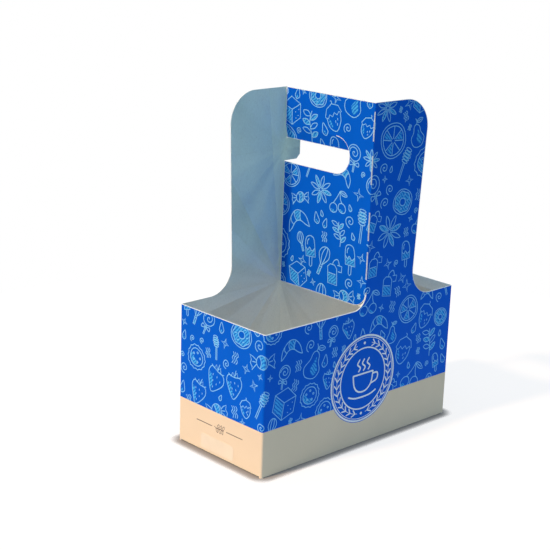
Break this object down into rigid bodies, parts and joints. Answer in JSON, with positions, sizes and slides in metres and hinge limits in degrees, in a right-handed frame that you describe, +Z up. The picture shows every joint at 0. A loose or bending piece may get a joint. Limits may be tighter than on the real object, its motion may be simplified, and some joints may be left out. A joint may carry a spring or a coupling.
{
  "type": "takeaway cup carrier",
  "caption": "Folded paperboard carrier for takeaway cups: an open box with a tall carrying web in the middle, a hand hole and necks on both long walls.",
  "frame": {"origin": "centre of the base, on the surface the carrier stands on", "axes": "+X along the long walls towards the end whose half of the front wall carries the front neck; +Y towards the back long wall; +Z up"},
  "size_m": [0.1902, 0.0872, 0.2467],
  "materials": {
    "board": "offset-printed satin white top, blue above a cream band, plain grey inside",
    "label_paper": "satin"
  },
  "bodies": {
    "root": {"folded_carrier": "board", "sticker": "label_paper"}
  },
  "joints": []
}
